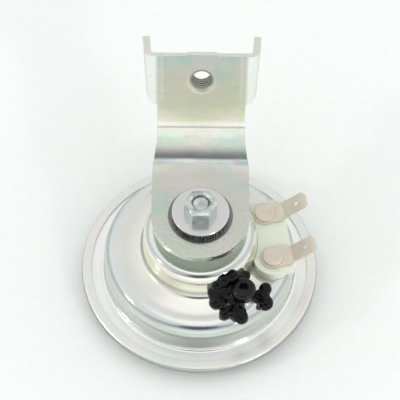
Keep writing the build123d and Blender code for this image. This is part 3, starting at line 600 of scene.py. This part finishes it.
# %% Nylon
nylon = Finish("natural_nylon", Subsurface_Weight=0.35, Subsurface_Scale=0.003,
               Subsurface_Radius=(1.0, 1.0, 0.8), IOR=1.53)
flow = nylon.grain(7.0, detail=1.5)
skin = nylon.grain(0.6, detail=2.0)
nylon.feed(Base_Color=nylon.tint(flow, [
               (0.30, (0.75, 0.84, 0.67)),
               (0.55, (0.81, 0.87, 0.73)),
               (0.75, (0.85, 0.88, 0.75))]),
           Roughness=0.36 + (skin - 0.5) * 0.15,
           Normal=nylon.relief(skin, 0.01, under=nylon.soft_edges(0.5)))
finishes["natural_nylon"] = nylon
print("nylon made")

# %% [markdown]
# ## Black screw and sealing compound
# The screw's black oxide is oiled and half glossy. The compound was put on
# as a thick liquid and set, so its skin is smooth, with slow shallow waves
# and no grain. One function makes both, from a colour, a dullness, the size
# and depth of the waves, and how much clear coat lies over them.

# %% Blacks
def black(name, colour, dullness, lumps, depth, coat):
    finish = Finish(name, Coat_Weight=coat, Coat_Roughness=0.05, Coat_IOR=1.35, IOR=1.28)
    skin = finish.grain(lumps, detail=2.0)
    dust = finish.grain(0.25, detail=2.0)
    finish.feed(Base_Color=finish.tint(skin, [(0.3, colour), (0.8, tuple(c * 2 for c in colour))]),
                Roughness=dullness + (dust - 0.5) * 0.1,
                Normal=finish.relief(skin, depth, under=finish.soft_edges(0.25)))
    return finish


finishes["black_screw"] = black("black_screw", (0.004, 0.004, 0.005), 0.16, 0.5, 0.002, 0.3)
finishes["black_compound"] = black("black_compound", (0.001, 0.001, 0.0012), 0.10, 3.4, 0.02, 0.0)
print("blacks made")

# %% [markdown]
# ## Finishes inside the case
# These pieces show only when the horn is opened, but a library part is
# opened now and then. Each gets its own simple procedural finish: turned or
# rolled steel, bronze and silver for the contacts, enamelled copper wire
# laid in turns, brown fibre and black gasket paper.

# %% Inner finishes
def metal(name, dark, light, dullness, size, stretch):
    finish = Finish(name, Metallic=1.0)
    lines = finish.grain(size, detail=3.0, stretch=stretch)
    finish.feed(Base_Color=finish.tint(lines, [(0.3, dark), (0.7, light)]),
                Roughness=dullness + (lines - 0.5) * 0.15,
                Normal=finish.relief(lines, 0.004, under=finish.soft_edges(0.15)))
    return finish


def paper(name, dark, light, size, depth):
    finish = Finish(name)
    fibres = finish.grain(size, detail=4.0, stretch=(1, 3, 1))
    finish.feed(Base_Color=finish.tint(fibres, [(0.3, dark), (0.7, light)]),
                Roughness=0.75 + (fibres - 0.5) * 0.2,
                Normal=finish.relief(fibres, depth))
    return finish


for name, dark, light, dullness, size, stretch in (
        ("bare_steel", (0.42, 0.42, 0.43), (0.58, 0.58, 0.58), 0.32, 0.8, (1, 1, 5)),
        ("spring_steel", (0.48, 0.48, 0.46), (0.64, 0.63, 0.60), 0.25, 0.6, (1, 5, 1)),
        ("contact_bronze", (0.60, 0.40, 0.22), (0.76, 0.54, 0.32), 0.28, 0.6, (5, 1, 1)),
        ("contact_silver", (0.74, 0.74, 0.72), (0.86, 0.86, 0.84), 0.18, 0.5, (1, 1, 1))):
    finishes[name] = metal(name, dark, light, dullness, size, stretch)
finishes["fibre"] = paper("fibre", (0.22, 0.10, 0.05), (0.36, 0.18, 0.09), 0.5, 0.02)
finishes["gasket"] = paper("gasket", (0.02, 0.02, 0.02), (0.05, 0.05, 0.048), 0.4, 0.02)

turn_height_mm = 0.45
copper = Finish("copper_wire", Metallic=0.9)
turns = (copper.z * (2 * math.pi / turn_height_mm)).wave()
winding = copper.grain(1.5)
copper.feed(Base_Color=copper.mix(winding, (0.52, 0.20, 0.08), (0.70, 0.34, 0.16)),
            Roughness=0.3 + (winding - 0.5) * 0.1,
            Normal=copper.relief(turns, 0.06))
finishes["copper_wire"] = copper
print("inner finishes made")

# %% [markdown]
# ## Dress the CAD nodes
# Every node names its finish in the record. A node keeps its mesh; only its
# material changes. Five pieces take a version of the zinc of their own.

# %% Dress the nodes
by_slot = {piece["node"]: piece["material_slot"] for piece in frame["record"]["subparts"]}
own_finish = {
    "clamp_ring": "zinc_steel_rolled",
    "housing": "zinc_steel_drawn",
    "bracket_nut": "zinc_steel_nut",
    "pole_core": "zinc_steel_nut",
    "bracket_washer": "zinc_steel_washer",
}
for name, node in nodes.items():
    finish = finishes[own_finish.get(name, by_slot[name])]
    node.data.materials.clear()
    node.data.materials.append(finish.material)
print("dressed", len(nodes), "nodes in", len(set(by_slot.values())), "finishes")

# %% [markdown]
# ## Sealing compound
# Drops of compound were dabbed round the screw until it stood in a heap
# against the hub. Separate balls would look like berries, so the drops are
# melted into one by a voxel remesh, smoothed, and pulled about a little by
# noise. Each drop is a place on the case's shoulder, a height and a size.

# %% Drops of compound
shoulder_mm = 20.6
wave_mm, wave_depth_mm = 2.8, 0.15              # the unevenness of the skin
drops = [                       # x, y, height above the shoulder, radius, in mm
    (4.9, -20.6, 3.4, 2.2), (6.6, -20.0, 5.2, 2.5), (8.6, -18.8, 5.8, 2.9),
    (10.6, -17.6, 5.8, 3.2), (8.4, -18.6, 8.8, 2.6), (11.4, -17.2, 9.2, 2.5),
    (6.0, -19.6, 7.2, 2.2), (7.4, -21.8, 2.8, 3.0), (10.2, -21.0, 3.8, 3.4),
    (5.6, -23.4, 1.5, 2.4), (8.8, -23.4, 2.4, 2.7), (11.8, -24.6, 2.2, 3.0),
    (9.0, -27.8, 1.2, 2.3), (10.8, -26.2, 1.6, 2.6),
    (14.0, -27.2, 1.5, 2.5), (14.6, -29.2, 1.2, 2.6), (13.6, -28.2, 1.5, 2.6),
    (16.2, -14.6, 4.8, 1.8), (14.2, -16.4, 4.6, 2.6), (12.4, -18.2, 4.0, 3.2),
    (20.9, -20.6, 1.5, 2.1), (22.4, -20.8, 1.5, 2.4),
    (23.2, -18.2, 1.7, 2.4), (23.3, -23.6, 1.3, 2.8),
]


def melted(name, spheres, voxel, rounds):
    """One skin over many spheres. It is worked in millimetres, then scaled."""
    shape = bmesh.new()
    for x, y, z, size in spheres:
        made = bmesh.ops.create_icosphere(shape, subdivisions=3, radius=size)
        bmesh.ops.translate(shape, verts=made["verts"], vec=Vector((x, y, z)))
    skin = bpy.data.meshes.new(name)
    shape.to_mesh(skin)
    shape.free()
    piece = bpy.data.objects.new(name, skin)
    bpy.context.scene.collection.objects.link(piece)
    remesh = piece.modifiers.new("melt", "REMESH")
    remesh.mode, remesh.voxel_size, remesh.use_smooth_shade = "VOXEL", voxel, True
    smooth = piece.modifiers.new("settle", "SMOOTH")
    smooth.factor, smooth.iterations = 0.5, rounds
    view = bpy.context.evaluated_depsgraph_get()
    piece.data = bpy.data.meshes.new_from_object(piece.evaluated_get(view))
    piece.modifiers.clear()
    bpy.data.meshes.remove(skin)
    outward = [vertex.normal.copy() for vertex in piece.data.vertices]
    for vertex, normal in zip(piece.data.vertices, outward):
        vertex.co += normal * noise.noise(vertex.co / wave_mm) * wave_depth_mm
    piece.data.transform(Matrix.Scale(MM, 4))
    return piece


spheres = [(x, y, shoulder_mm + height, size) for x, y, height, size in drops]
heap = melted("compound_heap", spheres, voxel=0.25, rounds=22)
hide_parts("sealing_compound")
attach(heap, "horn_body")
heap.data.materials.clear()
heap.data.materials.append(finishes["black_compound"].material)
print("compound faces:", len(heap.data.polygons))

# %% [markdown]
# ## Table
# The horn lies on a plain sheet of pale paper, so large that its edges are
# never seen. It receives the soft shadow. One flat face is enough; it is put
# at the lowest point of the horn.

# %% Floor
floor_size = 3.0                                # in metres
floor_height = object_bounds()[0].z
half = floor_size / 2
corners = [(x, y, floor_height) for x, y in
           ((-half, -half), (half, -half), (half, half), (-half, half))]
floor_mesh = bpy.data.meshes.new("floor")
floor_mesh.from_pydata(corners, [], [(0, 1, 2, 3)])
floor = bpy.data.objects.new("floor", floor_mesh)
bpy.context.scene.collection.objects.link(floor)
table_top = Finish("table_paper", Roughness=0.9)
table_top.feed(Base_Color=table_top.tint(table_top.grain(3.0), [
    (0.3, (0.91, 0.94, 0.92)),
    (0.7, (0.93, 0.96, 0.94)),
]))
floor_mesh.materials.append(table_top.material)
print("floor at", round(floor_height / MM, 2), "mm")

# %% [markdown]
# ## Light tent
# Bright metal shows only what is round it, so the room is what shapes the
# steel. It is a light tent: soft light from every side, a little stronger
# overhead, low in front and low at both sides, with one dark gap and a
# dimmer strip on the side of its opening, and two small lamps for the sharp
# glints. Lamps and panels could be objects; here the world shader draws the
# room by direction, which lights evenly and leaves nothing in the way.

# %% Room
world = bpy.data.worlds.new("light_tent")
bpy.context.scene.world = world
world.use_nodes = True


class Room(Finish):
    """The world's shader, with the same formulas by direction."""

    def __init__(self, tree):
        self.tree = tree
        self.x, self.y, self.z = self.split(self.node("ShaderNodeTexCoord", output="Generated"))

    def patch(self, azimuth, height, size, soft):
        """1 within size degrees of a direction, fading over soft degrees."""
        a, h = math.radians(azimuth), math.radians(height)
        toward = (math.sin(a) * math.cos(h), math.cos(a) * math.cos(h), math.sin(h))
        near = self.x * toward[0] + self.y * toward[1] + self.z * toward[2]
        return near.above(math.cos(math.radians(size + soft)), math.cos(math.radians(size)))


opening, left, right_hand = 180, -90, 90        # azimuths, in degrees from +Y
lamp_strength = 38
room = Room(world.node_tree)
overhead = room.patch(0, 90, 8, 14)
gap = room.patch(opening, 48, 10, 9)
front_light = room.patch(opening, 14, 20, 22)
boxes = room.patch(left, 12, 22, 30) + room.patch(right_hand, 12, 22, 30)
lamps = room.patch(-105, 30, 2.0, 1.5) + room.patch(139, 28, 2.0, 1.5)
dim_strip = room.z.band(0.66, 0.13, 0.12) * (1 - room.y.above(-0.72, -0.48))
tent = 0.95 + overhead * 0.35 + boxes * 0.12 + front_light * 0.45
brightness = tent * (1 - dim_strip * 0.5) * (1 - gap * 0.95) + lamps * lamp_strength
tone = room.mix(room.z.above(-0.2, 0.9), (0.97, 1.0, 0.985), (1.0, 1.0, 1.0))
background = world.node_tree.nodes["Background"]
world.node_tree.links.new(tone.socket, background.inputs["Color"])
world.node_tree.links.new(brightness.socket, background.inputs["Strength"])
bpy.context.scene.view_settings.view_transform = "Standard"
print("room ready")
